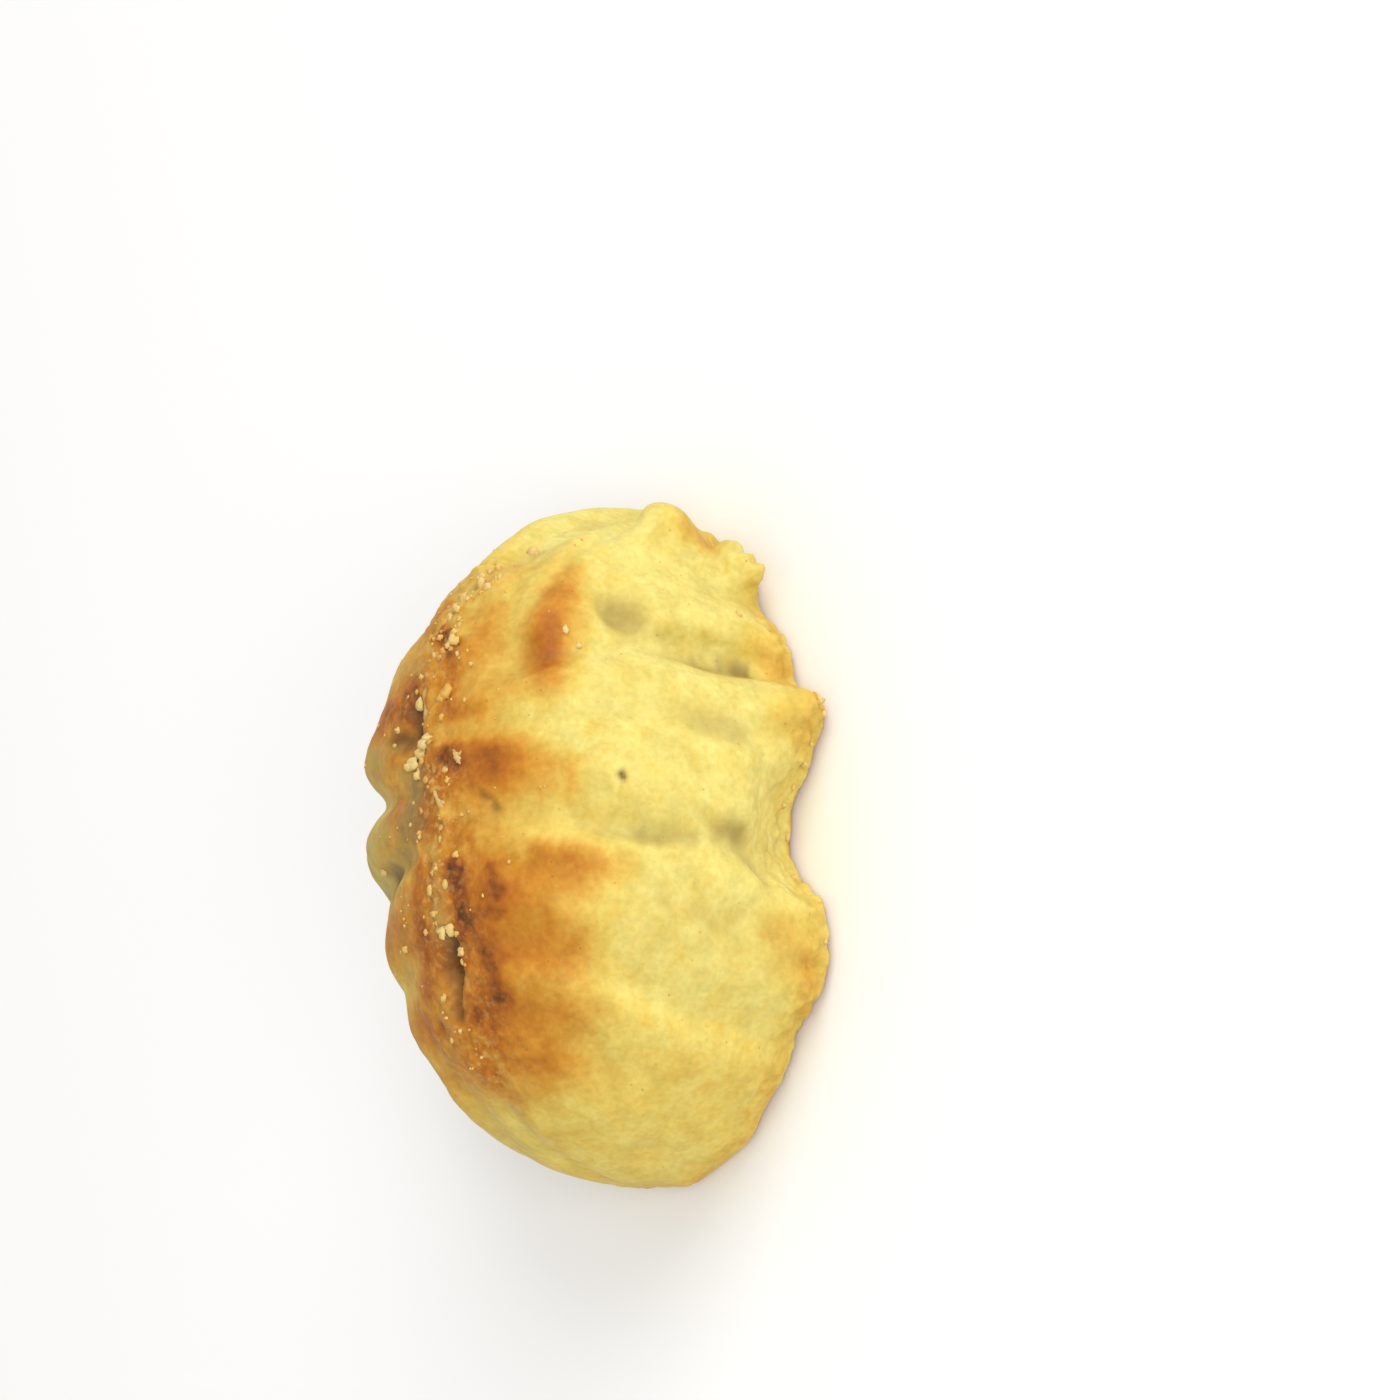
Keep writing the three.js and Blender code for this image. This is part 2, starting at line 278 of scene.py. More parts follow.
# Where the dough broke instead of flowing: along the seam, at the lower edge and on the flake at the rim
ROUGH_REACH = (12, 6.5)  # from the seam, towards -X and towards +X
ROUGH_FULL = 2.0
SCRAPS = (
    ((1.6, -3.8, 25.8), (1.9, -7.0, 25.7), (0.6, 0.8), (0.5, 0.9)),
    ((1.9, -7.0, 25.7), (1.5, -9.4, 24.9), (0.8, 0.9), (0.9, 1.0)),
)
TORN_HALF_WIDTH = 1.4
TORN_STRETCHES = ((1.0, 4.5, 2),)
TORN_STRETCH_LEVELS = (-0.5, 0.1)
FLAKE_MIDDLE = (11.8, 20.8, 3.4)
FLAKE_REACH = 2.6
LEDGE = ((16.6, 10.2, 7.5), (18.6, 9.0, 2.6), (0.8, 1.5), (0.5, 1.0))

rough = on_crest * ramp(np.abs(from_seam), np.where(from_seam < 0, *ROUGH_REACH), ROUGH_FULL)
scrap = np.maximum(*[stroke(place_mm, *part) for part in SCRAPS])
torn_stretches = ramp(uneven(place_mm, TORN_STRETCHES), *TORN_STRETCH_LEVELS)
torn = bell(from_seam, TORN_HALF_WIDTH) * on_crest * torn_stretches
torn = np.maximum(torn, scrap)
crumbled = ramp(x, *CRUMBLED_SIDE) * ramp(z, *CRUMBLED_HEIGHTS)
crumbled = crumbled * bell(y - CRUMBLED_MIDDLE, CRUMBLED_HALF_LENGTH) * above_base
flaky = bell(np.linalg.norm(place_mm - FLAKE_MIDDLE, axis=1), FLAKE_REACH)
ledge = stroke(place_mm, *LEDGE)
rim = ramp(z, *RIM_HEIGHTS) * above_base * (1 - flaky) * (1 - crumbled)
gritty_rim = ramp(z, *GRITTY_RIM_HEIGHTS) * ramp(x, *GRITTY_RIM_SIDE)

# Lumps of the dough, as height, size and seed of each layer
DOUGH_LUMPS = ((0.15, 9, 3), (0.10, 3.4, 4), (0.045, 1.3, 5))
ROUGH_LUMPS = ((0.18, 1.5, 16), (0.22, 0.75, 17))
TORN_LUMPS = ((0.40, 1.2, 6), (0.40, 0.6, 15))
CRUMBLED_LUMPS = ((0.35, 2.2, 7), (0.30, 0.8, 14))
CRUMBLED_DEPTH = 0.75
SCRAP_HEIGHT = 0.45
# Grains, as height, level, size and seed
FLAKE_GRAINS = (0.70, 0.55, 1.3, 9)
LEDGE_GRAINS = (0.55, 0.55, 0.9, 10)
RIM_GRAINS = (0.25, 0.60, 1.3, 8)

relief = uneven(place_mm, DOUGH_LUMPS)
relief += rough * uneven(place_mm, ROUGH_LUMPS)
relief += SCRAP_HEIGHT * scrap + torn * uneven(place_mm, TORN_LUMPS)
relief += crumbled * (uneven(place_mm, CRUMBLED_LUMPS) - CRUMBLED_DEPTH)
relief += flaky * grainy(place_mm, *FLAKE_GRAINS)
relief += ledge * grainy(place_mm, *LEDGE_GRAINS)
relief += rim * grainy(place_mm, *RIM_GRAINS)

# Folds and creases, sharper than the valleys of the mould: start, end, radii, depths, then how much wider the
# +Y side is
FOLDS = (
    ((11.2, 15.4, 15.6), (11.8, 14.7, 15.0), (1.8, 1.6), (0.80, 0.70), 1.0),
    ((10.2, 14.6, 18.2), (12.4, 13.5, 15.4), (0.8, 0.8), (0.10, 0.55), 2.0),
    ((12.4, 13.5, 15.4), (13.9, 13.0, 12.2), (0.8, 0.9), (0.55, 1.10), 2.0),
    ((13.9, 13.0, 12.2), (15.2, 12.5, 8.6), (0.9, 0.9), (1.10, 1.90), 1.9),
    ((15.2, 12.5, 8.6), (15.6, 12.3, 5.0), (0.9, 1.0), (1.90, 1.50), 1.9),
    ((15.6, 12.3, 5.0), (16.5, 11.8, 2.0), (1.0, 1.0), (1.50, 0.80), 1.7),
    ((14.8, 8.6, 16.8), (17.1, 6.4, 11.8), (1.2, 1.4), (0.10, 0.50), 1.1),
    ((17.1, 6.4, 11.8), (17.8, 5.6, 8.4), (1.4, 1.2), (0.50, 0.15), 1.0),
    ((10.4, -1.6, 22.8), (15.6, -2.8, 16.8), (0.6, 0.6), (0.05, 0.45), 1.8),
    ((15.6, -2.8, 16.8), (17.1, -2.8, 13.2), (0.6, 0.6), (0.45, 0.35), 1.8),
    ((17.3, -2.0, 12.0), (17.9, -2.3, 9.3), (1.3, 1.4), (0.45, 0.75), 1.0),
    ((17.9, -2.3, 9.3), (18.0, -5.0, 6.0), (1.2, 1.0), (0.65, 0.30), 1.0),
    ((16.0, -7.4, 17.0), (18.2, -9.3, 9.0), (1.2, 1.5), (0.10, 0.35), 1.2),
    ((19.1, -11.6, 4.8), (19.6, -11.9, 2.0), (0.8, 1.2), (0.30, 1.20), 1.0),
    ((4.4, 24.9, 8.4), (7.0, 24.6, 10.6), (0.9, 0.9), (0.60, 0.70), 1.0),
    ((7.0, 24.6, 10.6), (7.8, 23.4, 13.2), (0.9, 0.9), (0.70, 0.50), 1.0),
    ((7.8, 23.4, 13.2), (8.0, 21.0, 16.6), (0.9, 0.9), (0.50, 0.30), 1.0),
    ((8.0, 21.0, 16.6), (7.9, 17.4, 20.4), (0.9, 1.0), (0.30, 0.40), 1.0),
    ((7.9, 17.4, 20.4), (7.2, 11.8, 22.2), (1.0, 1.2), (0.40, 0.15), 1.0),
    ((-3.0, 1.5, 25.3), (-6.0, 1.8, 24.7), (0.8, 0.9), (0.25, 0.50), 1.0),
    ((-6.0, 1.8, 24.7), (-12.5, 2.8, 20.0), (0.9, 1.0), (0.50, 0.40), 1.0),
    ((-1.9, -3.4, 25.7), (-4.2, -3.6, 25.2), (0.8, 0.9), (0.50, 1.10), 1.3),
    ((-4.2, -3.6, 25.2), (-12.0, -4.4, 20.0), (0.9, 1.1), (1.10, 0.40), 1.3),
)
FOLD_JOINING = 6  # the greater, the less two folds deepen each other where they meet
relief -= soft_union([stroke(place_mm, *fold) for fold in FOLDS], FOLD_JOINING)

# Where the dough stands a little prouder than the mould left it: start, end, radii, heights
SWELLINGS = (
    ((8.2, 25.3, 9.4), (9.2, 24.7, 8.0), (1.6, 1.6), (0.50, 0.45)),
    ((17.6, 9.8, 3.4), (18.8, 9.4, 2.6), (0.7, 0.8), (0.40, 0.60)),
)
relief += soft_union([stroke(place_mm, *swelling) for swelling in SWELLINGS])

# Gaps and pits where pieces of the crest are missing: start, end, radii, depths, then how dark the painted
# shade in them is. A few are shallow dips that only carry painted shade, in the fold and on the -X side of
# the crest.
GAPS = (
    ((-2.4, 8.6, 24.9), (-1.6, 5.4, 25.7), (0.9, 1.0), (0.60, 1.20), 1.05),
    ((-3.0, 6.2, 25.5), (-4.8, 6.4, 25.2), (1.1, 1.0), (0.65, 0.45), 0.85),
    ((0.9, -4.2, 25.7), (0.9, -9.2, 24.9), (0.35, 0.40), (0.25, 0.40), 0.45),
    ((1.7, -10.2, 24.7), (1.2, -12.4, 24.2), (0.90, 1.15), (1.10, 1.30), 0.95),
    ((1.5, -12.4, 24.2), (0.9, -15.6, 22.8), (1.00, 0.60), (1.20, 0.40), 0.75),
    ((-6.2, -4.4, 24.2), (-8.0, -4.9, 23.3), (0.9, 1.0), (0.40, 0.30), 0.90),
    ((0.5, -0.6, 25.8), (0.9, -2.4, 25.7), (0.9, 0.9), (0.10, 0.10), 0.25),
    ((14.4, 12.0, 9.6), (15.0, 11.8, 5.4), (0.40, 0.45), (0.10, 0.10), 0.35),
    ((-1.0, 2.4, 25.8), (-2.2, -1.2, 25.7), (1.6, 1.7), (0.15, 0.15), 0.30),
    ((6.2, 0.7, 24.9), (6.7, 0.4, 24.7), (0.40, 0.30), (0.25, 0.20), 0.60),
    ((7.0, 0.1, 24.5), (7.1, -0.4, 24.4), (0.30, 0.45), (0.20, 0.30), 0.50),
    ((-3.2, 15.2, 22.4), (-3.6, 13.6, 23.0), (0.5, 0.5), (0.35, 0.25), 0.50),
    ((0.2, 18.6, 21.6), (0.9, 18.2, 21.7), (0.4, 0.4), (0.25, 0.20), 0.45),
    ((-2.0, -16.0, 22.0), (-1.2, -17.6, 21.0), (0.6, 0.5), (0.45, 0.30), 0.60),
    ((15.5, 1.8, 18.9), (15.6, 1.5, 18.8), (0.35, 0.3), (0.10, 0.10), 0.90),
)
# How dark the painted shade in each gap, pit and dip is
gap = np.zeros(len(x))
for start, end, radii, depths, darkness in GAPS:
    shape = stroke(place_mm, start, end, radii, (1, 1))
    relief -= stroke(place_mm, start, end, radii, depths)
    gap = np.maximum(gap, darkness * shape)

# The lower edge breaks off in grains, down to the base
EDGE_GRAIN = 1.0
EDGE_GRAIN_SEED = 18
EDGE_OUT = 0.35
EDGE_GROOVES = 0.75
broken_edge = gritty_rim * (EDGE_OUT - EDGE_GROOVES * grains(place_mm, EDGE_GRAIN, EDGE_GRAIN_SEED))

moved = place_mm + outward * (relief * above_base)[:, None]
moved[:, :2] += outward[:, :2] * broken_edge[:, None]
moved[:, 2] = np.maximum(moved[:, 2], 0)
crust_mesh.vertices.foreach_set("co", (moved * MM).ravel())
crust_mesh.update()

# Browning, 0 for none to 1 for darkest: start, end, radii, levels, share of the radius towards +Y
BROWNED = (
    ((8.6, 19.2, 18.1), (9.1, 17.0, 20.0), (1.4, 2.0), (0.36, 0.48), 0.9),
    ((9.1, 17.0, 20.0), (9.4, 14.6, 21.3), (2.0, 2.4), (0.48, 0.54), 0.9),
    ((9.4, 14.6, 21.3), (9.5, 12.2, 21.9), (2.4, 2.8), (0.54, 0.58), 0.9),
    ((9.5, 12.2, 21.9), (10.8, 9.8, 22.4), (2.7, 2.0), (0.56, 0.50), 0.9),
    ((9.6, 14.0, 21.2), (10.0, 11.0, 21.9), (1.5, 1.7), (0.62, 0.67), 0.9),
    ((10.2, 16.0, 19.2), (11.2, 10.0, 21.6), (1.8, 2.0), (0.26, 0.34), 0.9),
    ((1.4, 3.2, 25.8), (7.8, 3.0, 24.5), (3.5, 3.3), (0.71, 0.62), 0.85),
    ((7.8, 3.0, 24.5), (12.2, 2.0, 22.0), (3.3, 2.4), (0.62, 0.28), 0.85),
    ((2.4, 4.4, 25.6), (7.0, 4.2, 24.6), (1.4, 1.4), (0.74, 0.64), 0.9),
    ((2.2, 4.2, 25.7), (4.0, 3.2, 25.6), (1.3, 1.3), (0.80, 0.76), 1.0),
    ((2.2, -5.4, 25.4), (12.4, -5.8, 21.2), (3.4, 2.9), (0.74, 0.49), 0.85),
    ((12.4, -4.9, 21.4), (15.2, -5.0, 18.6), (2.2, 1.6), (0.46, 0.30), 0.9),
    ((3.0, -10.2, 24.4), (10.0, -10.8, 21.2), (4.2, 3.8), (0.84, 0.58), 0.9),
    ((4.0, -15.6, 22.2), (8.8, -15.4, 19.6), (3.8, 3.4), (0.76, 0.50), 1.0),
    ((5.4, -11.2, 23.6), (5.6, -14.6, 22.4), (1.6, 1.6), (0.88, 0.84), 1.0),
    ((3.7, -4.4, 25.5), (4.2, -8.6, 24.9), (1.5, 1.7), (0.88, 0.93), 1.0),
    ((6.9, -5.0, 24.6), (7.6, -7.2, 24.5), (0.9, 0.9), (0.78, 0.78), 1.0),
    ((6.4, -8.3, 24.4), (7.6, -8.6, 24.3), (0.7, 0.7), (0.74, 0.74), 1.0),
    ((10.6, -4.4, 22.8), (13.0, -5.2, 21.2), (1.7, 1.3), (0.60, 0.50), 1.0),
    ((6.6, -7.2, 24.6), (10.4, -8.2, 22.9), (2.4, 2.2), (0.74, 0.56), 1.0),
    ((-1.2, 14.8, 23.4), (1.3, 12.6, 24.4), (1.2, 1.3), (0.88, 0.86), 1.0),
    ((1.4, 11.4, 24.6), (2.0, 8.4, 25.0), (1.6, 1.7), (0.62, 0.66), 1.0),
    ((2.6, 7.6, 25.2), (5.4, 7.4, 24.8), (1.3, 1.3), (0.60, 0.52), 1.0),
    ((1.6, -1.6, 25.5), (4.6, -2.2, 25.1), (1.6, 1.6), (0.66, 0.60), 1.0),
    ((3.2, 12.0, 24.0), (4.2, 15.6, 22.4), (1.9, 1.7), (0.50, 0.40), 1.0),
    # These patches on the -X side beside the crest are browning, deepened in part with painted shade of the
    # side turned from the lamps
    ((-3.0, 9.4, 24.8), (-9.4, 8.4, 22.6), (3.3, 3.2), (0.84, 0.70), 0.95),
    ((-2.6, -8.6, 24.6), (-9.8, -8.4, 21.2), (3.4, 3.3), (0.58, 0.52), 0.9),
    ((-0.6, -0.4, 25.8), (-4.6, 0.6, 25.0), (2.6, 2.2), (0.84, 0.66), 1.0),
    ((-0.6, -4.6, 25.4), (-1.2, -8.4, 24.8), (1.5, 1.6), (0.74, 0.74), 1.0),
    ((-1.2, -10.0, 24.6), (-2.4, -13.4, 23.2), (2.2, 2.2), (0.74, 0.70), 1.0),
    ((-3.4, 16.4, 21.6), (-8.8, 14.4, 18.6), (2.8, 2.5), (0.60, 0.30), 1.0),
    ((-4.4, -16.0, 21.4), (-9.4, -14.6, 17.8), (3.2, 2.6), (0.68, 0.36), 1.0),
    ((1.4, -19.6, 20.0), (1.8, -23.0, 15.0), (2.6, 1.9), (0.58, 0.24), 1.0),
    ((-6.2, -19.4, 16.8), (-7.4, -22.0, 12.0), (1.9, 1.6), (0.46, 0.18), 1.0),
    ((6.6, -18.6, 18.8), (9.4, -19.2, 14.6), (2.0, 1.5), (0.52, 0.26), 1.0),
    ((3.6, -21.4, 16.0), (5.0, -23.6, 11.6), (1.5, 1.3), (0.40, 0.20), 1.0),
    ((14.8, 14.0, 4.0), (15.8, 12.6, 2.4), (1.8, 1.6), (0.18, 0.28), 1.0),
    ((9.5, 23.6, 7.0), (8.9, 22.8, 4.4), (1.6, 1.5), (0.30, 0.42), 1.0),
    ((18.6, 7.6, 4.6), (18.6, 6.0, 2.6), (1.9, 1.6), (0.16, 0.25), 1.0),
    ((18.8, -9.6, 5.8), (18.6, -12.0, 3.0), (2.2, 2.2), (0.22, 0.31), 1.0),
)
CRISPNESS = 2.5  # over 2, so that the brown patches are fuller and end sooner than a plain bell
# Sunk places, which stay pale and turn grey-green, with painted shade in the dimples, the creases, the line
# under the fold's ledge and on the -X side beyond the crest: start, end, radii, levels, share of the radius
# towards +Y
GREENISH_AND_SHADED = (
    ((11.1, 15.5, 15.6), (11.7, 14.9, 15.0), (1.5, 1.5), (0.88, 0.72), 1.1),
    ((11.9, 14.8, 14.8), (13.6, 13.2, 12.0), (1.2, 0.9), (0.32, 0.30), 1.1),
    ((13.4, 12.6, 12.4), (14.4, 12.1, 9.6), (0.5, 0.6), (0.25, 0.75), 1.1),
    ((14.4, 12.1, 9.6), (15.0, 11.9, 5.4), (0.6, 0.6), (1.00, 1.05), 1.1),
    ((15.6, 7.8, 15.0), (17.0, 6.8, 12.4), (1.0, 1.1), (0.10, 0.40), 1.1),
    ((17.0, 6.6, 12.0), (17.8, 5.8, 9.0), (1.1, 1.1), (0.50, 0.60), 1.1),
    ((12.6, -2.0, 21.0), (15.6, -2.8, 16.8), (0.5, 0.6), (0.15, 0.70), 1.3),
    ((15.6, -2.8, 16.8), (17.1, -2.8, 13.2), (0.6, 0.6), (0.85, 0.60), 1.3),
    ((17.5, -2.0, 10.8), (17.9, -2.3, 9.0), (1.1, 1.2), (0.75, 1.00), 1.0),
    ((17.9, -2.6, 8.8), (17.9, -5.0, 6.2), (1.0, 0.8), (0.80, 0.35), 1.0),
    ((16.0, -7.8, 16.6), (18.0, -9.2, 10.0), (1.3, 1.5), (0.25, 0.35), 1.0),
    ((8.0, 20.6, 17.2), (7.2, 13.0, 22.0), (0.8, 0.9), (0.25, 0.25), 1.0),
    ((-7.0, 5.4, 24.6), (-11.0, 5.2, 22.0), (1.6, 1.9), (0.85, 0.95), 0.8),
    ((-5.5, -0.8, 24.8), (-12.0, -1.0, 20.8), (1.6, 2.4), (0.80, 1.00), 1.0),
    ((-3.2, -3.0, 25.4), (-12.0, -4.2, 19.8), (1.2, 1.6), (1.00, 0.90), 1.0),
    ((-1.4, 2.6, 25.8), (-2.4, -1.4, 25.7), (1.8, 2.0), (0.85, 0.80), 1.0),
    ((18.4, -10.0, 8.6), (18.6, -10.8, 5.6), (2.4, 2.0), (0.22, 0.22), 1.0),
    ((-2.6, 12.0, 24.0), (-6.0, 12.2, 22.6), (0.8, 1.0), (0.60, 0.60), 1.0),
)
# How ragged the edges of both are, along each axis: height, size and seed of each layer of lumps
RAGGED_EDGES = (
    ((0.25, 2.6, 11), (0.25, 0.9, 20)),
    ((0.25, 2.6, 12), (0.25, 0.9, 21)),
    ((0.25, 2.6, 13), (0.25, 0.9, 22)),
)
# Browning all over, apart from the patches: the shares, then where they begin and where they are full
CREST_BROWNING = 0.43
CREST_BROWNING_REACH = (14, 2.5)  # from the seam
PALER_TIP = 0.5
PALER_TIP_REACH = (12, 18)
RIB_BROWNING = 0.10
RIB_PROUDNESS = (-0.1, 0.5)
RIB_HEIGHTS = (13, 21)
BACK_BROWNING = 0.12
LOW_TIP_REACH = (-13, -21)
BACK_REACH = (-7, -14)
RIM_BROWNING = 0.20
SCRAP_PALENESS = 0.45
BASE_BROWNING = 0.50
BASE_PATCHES = ((0.14, 6, 21),)
# Mould valleys turn grey-green by how deep they lie, up to a limit: partly their own tint, partly painted
# shade
VALLEY_SHADE_GAIN = 0.5
VALLEY_SHADE_LIMIT = 0.25
# How crumbly the broken places look
TORN_CRUMB = 0.9
CRUMBLED_CRUMB = 0.8
FLAKE_CRUMB = 0.7
GREATEST_LEVEL = 1.5

painted_at = place_mm + np.stack([uneven(place_mm, layers) for layers in RAGGED_EDGES], axis=1)
general = CREST_BROWNING * ramp(np.abs(from_seam), *CREST_BROWNING_REACH) * on_crest
general = general * (1 - PALER_TIP * ramp(y, *PALER_TIP_REACH))
general += RIB_BROWNING * ramp(proud, *RIB_PROUDNESS) * ramp(z, *RIB_HEIGHTS)
general += BACK_BROWNING * np.maximum(ramp(y, *LOW_TIP_REACH), ramp(x, *BACK_REACH))
browned = [stroke(painted_at, *browning, CRISPNESS) for browning in BROWNED]
toast = soft_union([general, RIM_BROWNING * rim, *browned]) * (1 - SCRAP_PALENESS * scrap)
toast = toast * (1 - underneath) + (BASE_BROWNING + uneven(place_mm, BASE_PATCHES)) * underneath
# The grey-green of the valleys and sunk places: partly the dough's own tint, partly painted shade
sunk_tint_and_shade = [stroke(painted_at, *greenish) for greenish in GREENISH_AND_SHADED]
valley = soft_union([np.clip(-proud * VALLEY_SHADE_GAIN, 0, VALLEY_SHADE_LIMIT), *sunk_tint_and_shade]) * (1 - underneath)
crumb = np.clip(TORN_CRUMB * torn + CRUMBLED_CRUMB * crumbled + FLAKE_CRUMB * flaky, 0, 1)

attributes = {"toast": toast, "valley": valley, "crumb": crumb, "gap": gap, "rough": rough, "scrap": scrap}
for name, values in attributes.items():
    attribute = crust_mesh.attributes.new(name, "FLOAT", "POINT")
    attribute.data.foreach_set("value", np.clip(values, 0, GREATEST_LEVEL).astype(np.float32))
crust_mesh.shade_smooth()


class Wire:
    """A socket in a material. Arithmetic on it adds Math nodes; make adds any other node."""

    def __init__(self, tree, socket=None):
        self.tree = tree
        self.socket = socket

    def make(self, kind, settings=None, sockets=None, output=0):
        """A node of this kind, with its settings first, then the values or wires of its sockets."""
        node = self.tree.nodes.new(kind)
        for name, value in (settings or {}).items():
            if name == "stops":
                for _ in range(len(value) - 2):
                    node.color_ramp.elements.new(0.5)
                for element, (position, colour) in zip(node.color_ramp.elements, value):
                    element.position = position
                    element.color = colour
            else:
                setattr(node, name, value)
        for name, value in (sockets or {}).items():
            if isinstance(value, Wire):
                self.tree.links.new(value.socket, node.inputs[name])
            else:
                node.inputs[name].default_value = value
        return Wire(self.tree, node.outputs[output] if node.outputs else None)

    def math(self, operation, *others):
        return self.make("ShaderNodeMath", {"operation": operation}, dict(enumerate((self, *others))))

    def clamped(self):
        return self.make("ShaderNodeClamp", None, {"Value": self})

    def __add__(self, other):
        return self.math("ADD", other)

    def __mul__(self, other):
        return self.math("MULTIPLY", other)

    def __sub__(self, other):
        return self.math("SUBTRACT", other)

    def __rsub__(self, other):
        return self * -1 + other

    __radd__ = __add__
    __rmul__ = __mul__


COLOUR_SOCKETS = (6, 7)  # of a Mix node, which has a set of sockets for each kind of value
COLOUR_OUTPUT = 2
LIT_SHARE = 0.715  # a surface with this share of a tone's brightness shows as that tone in the studio's light


def tone(red, green, blue):
    """The linear colour of a surface that shows as this 0 to 255 colour in the studio's light."""
    linear = [((channel / 255 + 0.055) / 1.055) ** 2.4 for channel in (red, green, blue)]
    return (*[LIT_SHARE * channel for channel in linear], 1.0)


def new_finish(name):
    """An empty material and a wire to build its nodes from."""
    material = bpy.data.materials.new(name)
    material.use_nodes = True
    material.node_tree.nodes.clear()
    return material, Wire(material.node_tree)


def in_millimetres(wires):
    """The place on the piece, in millimetres."""
    object_place = wires.make("ShaderNodeTexCoord", output="Object")
    return wires.make("ShaderNodeVectorMath", {"operation": "SCALE"}, {0: object_place, "Scale": 1 / MM})


def level_of(wires, name):
    """A level that is kept at each vertex."""
    return wires.make("ShaderNodeAttribute", {"attribute_name": name}, output="Fac")


def shade_of(wires, stops, level):
    """The colour of a level, from a row of colours."""
    return wires.make("ShaderNodeValToRGB", {"stops": stops}, {"Fac": level})


def blend(wires, factor, first, second, mode="MIX"):
    """A colour between two others, or the product of both."""
    sockets = {"Factor": factor, COLOUR_SOCKETS[0]: first, COLOUR_SOCKETS[1]: second}
    return wires.make("ShaderNodeMix", {"data_type": "RGBA", "blend_type": mode}, sockets, COLOUR_OUTPUT)


def speckle(wires, where, size, detail=2.0, seed=0.0):
    """Shader noise from 0 to 1 with lumps of about this size in millimetres."""
    settings = {"noise_dimensions": "4D"}
    sockets = {"Vector": where, "Scale": 1 / size, "Detail": detail, "W": seed}
    return wires.make("ShaderNodeTexNoise", settings, sockets)


def threshold(wires, value, low, high):
    """0 where value is below low, 1 above high."""
    settings = {"interpolation_type": "SMOOTHSTEP"}
    return wires.make("ShaderNodeMapRange", settings, {"Value": value, "From Min": low, "From Max": high})


def dough_surface(wires, colour, roughness, height, bump, scatter):
    """A matt dough surface: bump is its strength and depth, scatter the share and depth of light let in."""
    bumped = wires.make("ShaderNodeBump", None, {"Height": height, "Strength": bump[0], "Distance": bump[1]})
    sockets = {
        "Base Color": colour,
        "Roughness": roughness,
        "Normal": bumped,
        "Specular IOR Level": DOUGH_GLOSS,
        "Subsurface Weight": scatter[0],
        "Subsurface Radius": DOUGH_SCATTER,
        "Subsurface Scale": scatter[1],
    }
    surface = wires.make("ShaderNodeBsdfPrincipled", None, sockets)
    wires.make("ShaderNodeOutputMaterial", None, {"Surface": surface})


DOUGH_GLOSS = 0.3
DOUGH_SCATTER = (1.0, 0.6, 0.25)  # how far red, green and blue light spread in the dough
BAKED_BUMP = (0.35, 0.12 * MM)
BAKED_SCATTER = (0.12, 1.2 * MM)
BAKED_TONES = (
    (0.00, tone(255, 239, 137)),
    (0.18, tone(251, 219, 104)),
    (0.38, tone(240, 185, 72)),
    (0.56, tone(226, 153, 38)),
    (0.74, tone(204, 119, 18)),
    (0.90, tone(164, 89, 14)),
    (1.00, tone(112, 60, 14)),
)
# The valleys' grey-green: partly the dough's own tint, partly painted shade
VALLEY_AND_SHADE_TONE = tone(184, 160, 86)
CRUMB_TONE = tone(242, 202, 120)
SCRAP_TONE = tone(188, 144, 78)
PORE_TONE = tone(120, 84, 40)
# Painted shade in the gaps, pits and hollows
HOLLOW_SHADE_TONE = tone(112, 74, 34)
GRAIN_SHADES = ((0.36, (0.91, 0.895, 0.84, 1.0)), (0.60, (1.0, 1.0, 1.0, 1.0)))
PRESSED_SHADES = ((0.38, (0.89, 0.88, 0.83, 1.0)), (0.58, (1.0, 1.0, 1.0, 1.0)))
# Noise in the dough: the size in millimetres, the detail and the seed of each
BROAD_PATCHES = (5.0, 2.0, 1.0)
SMALL_PATCHES = (1.4, 3.0, 2.0)
SAND = (0.6, 3.0, 3.0)
MOTTLING = (0.9, 4.0, 13.0)
GRAINS = (0.5, 4.0, 12.0)
PRESSED_GRAINS = (1.8, 3.0, 14.0)
CRUMB_SPOTS = (0.5, 5.0, 4.0)
PORE_FIELDS = (2.2, 1.0, 5.0)
SKIN = (0.5, 3.0, 6.0)
FINE_SKIN = (0.16, 1.0, 7.0)
TORN_SKIN = (0.35, 2.0, 15.0)
PORE_SPACING = 1.1
# How much each of them changes the browning
BROWNING_GAIN = 0.95
LEAST_BROWNING = 0.05
BROAD_STRENGTH = 0.22
PATCH_STRENGTH = 0.36
PATCH_FADING = 0.08  # where it is browned
SAND_STRENGTH = 0.16
SAND_GAIN = 0.12  # where it is browned
MOTTLING_STRENGTH = 0.55
# How strongly the other tones show
VALLEY_SHADE_STRENGTH = 0.92
VALLEY_SHADE_PATCHES = 0.8
LEAST_SCRAP = 0.75
CRUMB_STRENGTH = 0.4
TORN_CREST_SHARE = 0.4
PORE_STRENGTH = 0.3
# Heights of the skin's own relief
SKIN_HEIGHT = 0.6
FINE_SKIN_HEIGHT = 0.25
TORN_SKIN_HEIGHT = 1.6
PORE_DEPTH = 0.8
RAW_ROUGHNESS = 0.66
PATCH_ROUGHNESS = 0.2
BROWNED_SMOOTHNESS = 0.12
# Where a spot begins and where it is full, on the noise that it comes from
CRUMB_SPOT_LEVELS = (0.50, 0.62)
PORE_LEVELS = (0.14, 0.05)
PORE_FIELD_LEVELS = (0.46, 0.62)

baked, w = new_finish("baked_pastry")
dough_place = in_millimetres(w)
toasted = level_of(w, "toast")
sunk_and_shaded = level_of(w, "valley")
crumbly = level_of(w, "crumb")
hollow_shade = level_of(w, "gap")
coarse = level_of(w, "rough")
peeled = level_of(w, "scrap")

